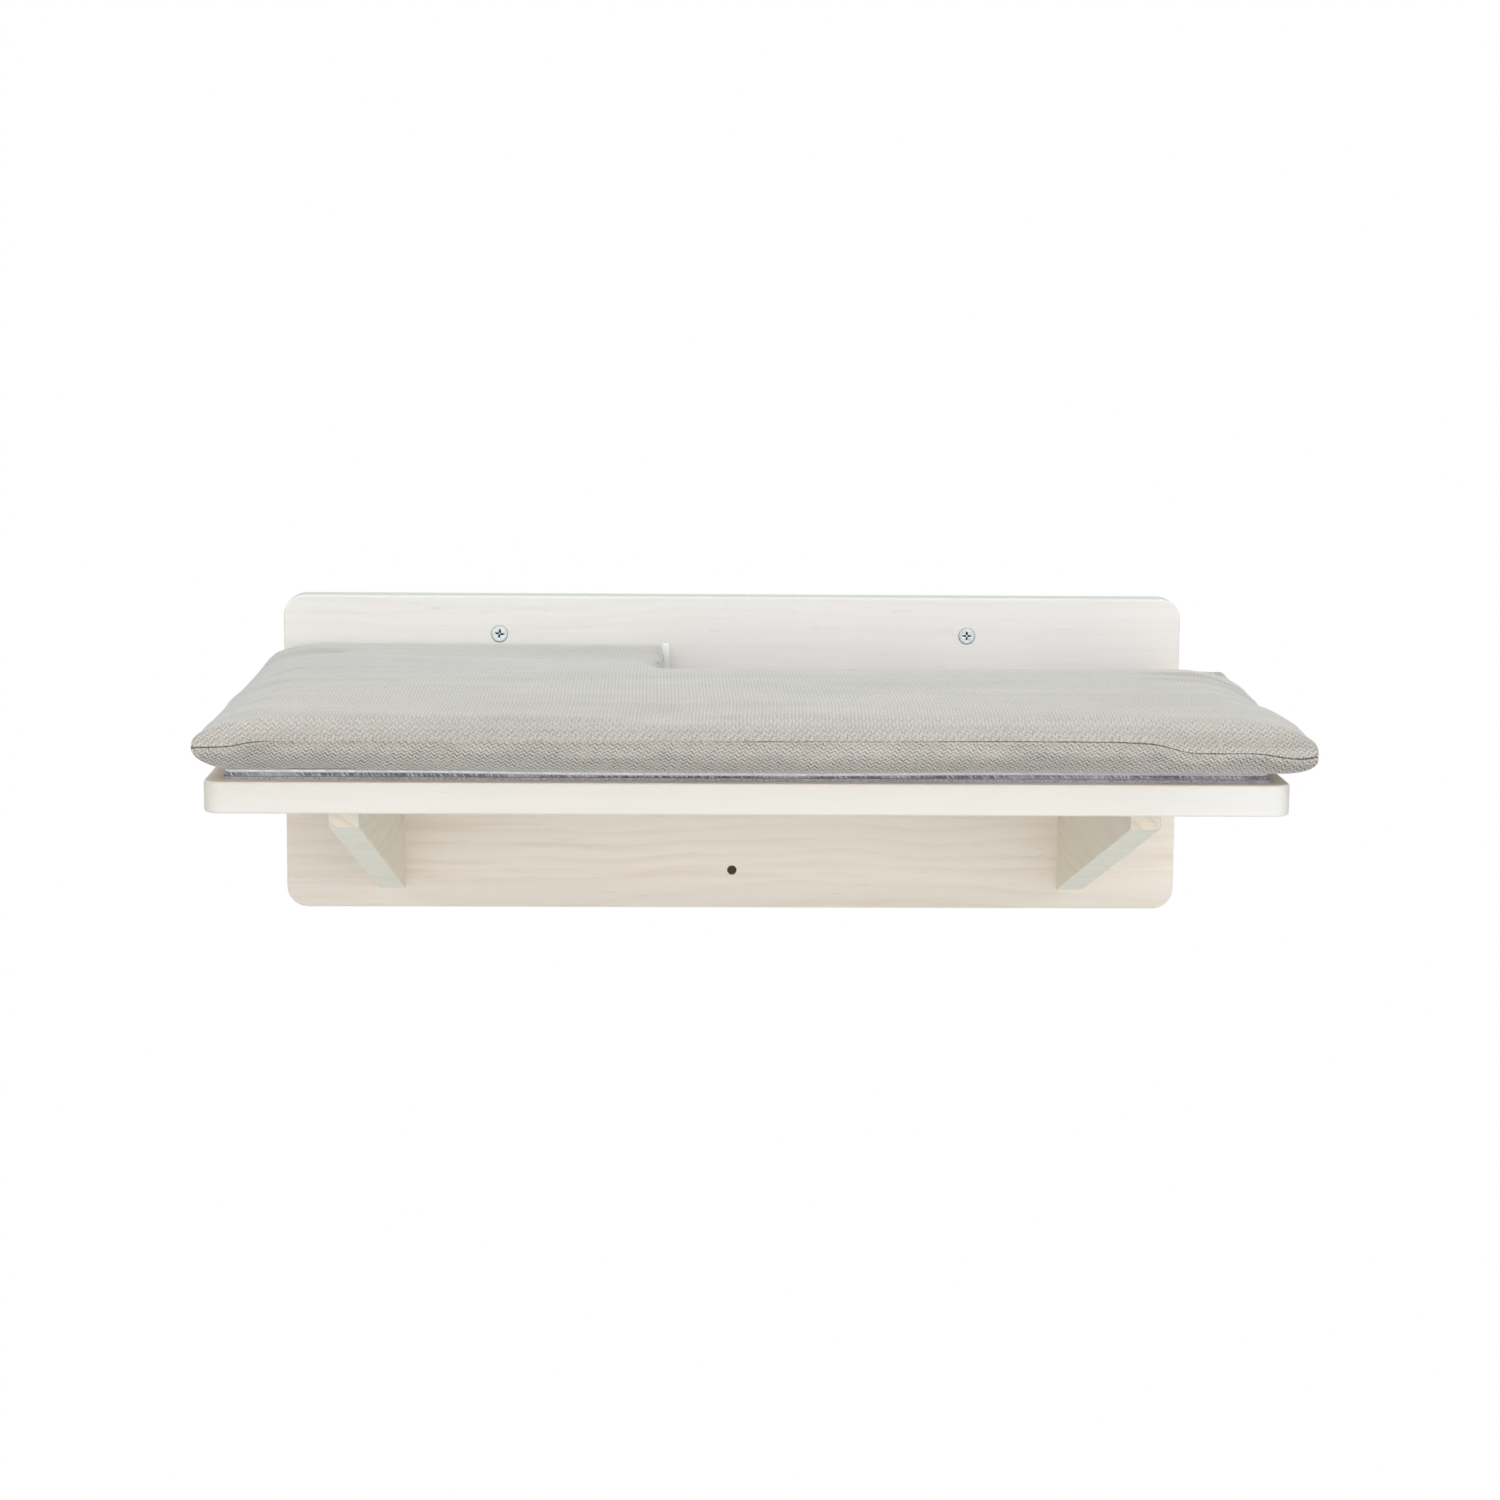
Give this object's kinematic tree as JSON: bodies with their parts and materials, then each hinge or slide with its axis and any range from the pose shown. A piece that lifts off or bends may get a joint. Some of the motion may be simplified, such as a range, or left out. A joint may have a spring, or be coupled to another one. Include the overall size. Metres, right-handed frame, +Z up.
{
  "type": "cat wall platform",
  "caption": "Wall-mounted wooden cat platform: a back board, a shelf on two slanted brackets, a plush mat and a loose woven cushion with a cut-out rear corner.",
  "frame": {"origin": "centre of the back board's wall face, on the wall", "axes": "+X to the right seen from the front along the boards' width, +Y into the wall, +Z up"},
  "size_m": [0.5231, 0.407, 0.18],
  "materials": {
    "white_washed_wood": "white-washed, grain showing",
    "dowel_wood": "plain beech",
    "zinc_steel": "zinc plated",
    "mat_backing": "felted rim",
    "mat_plush": "short plush",
    "woven_grey": "coarse light grey weave",
    "wadding": "white wadding",
    "white_tape": "plain tape"
  },
  "bodies": {
    "platform": {"back_board": "white_washed_wood", "shelf_board": "white_washed_wood", "bracket_left": "white_washed_wood", "bracket_right": "white_washed_wood", "wall_screw_left": "zinc_steel", "wall_screw_right": "zinc_steel", "shelf_screws": "zinc_steel", "bracket_screws": "zinc_steel", "shelf_dowels": "dowel_wood", "bracket_dowels": "dowel_wood", "mat_backing": "mat_backing", "mat_pile": "mat_plush"},
    "cushion": {"cushion_cover_top": "woven_grey", "cushion_cover_bottom": "woven_grey", "cushion_filling": "wadding", "cushion_side_tape": "white_tape"}
  },
  "joints": [
    {"name": "cushion_lift", "type": "slide", "parent": "platform", "child": "cushion", "axis": [0, 0, 1], "range_m": [0, 0.15]}
  ]
}
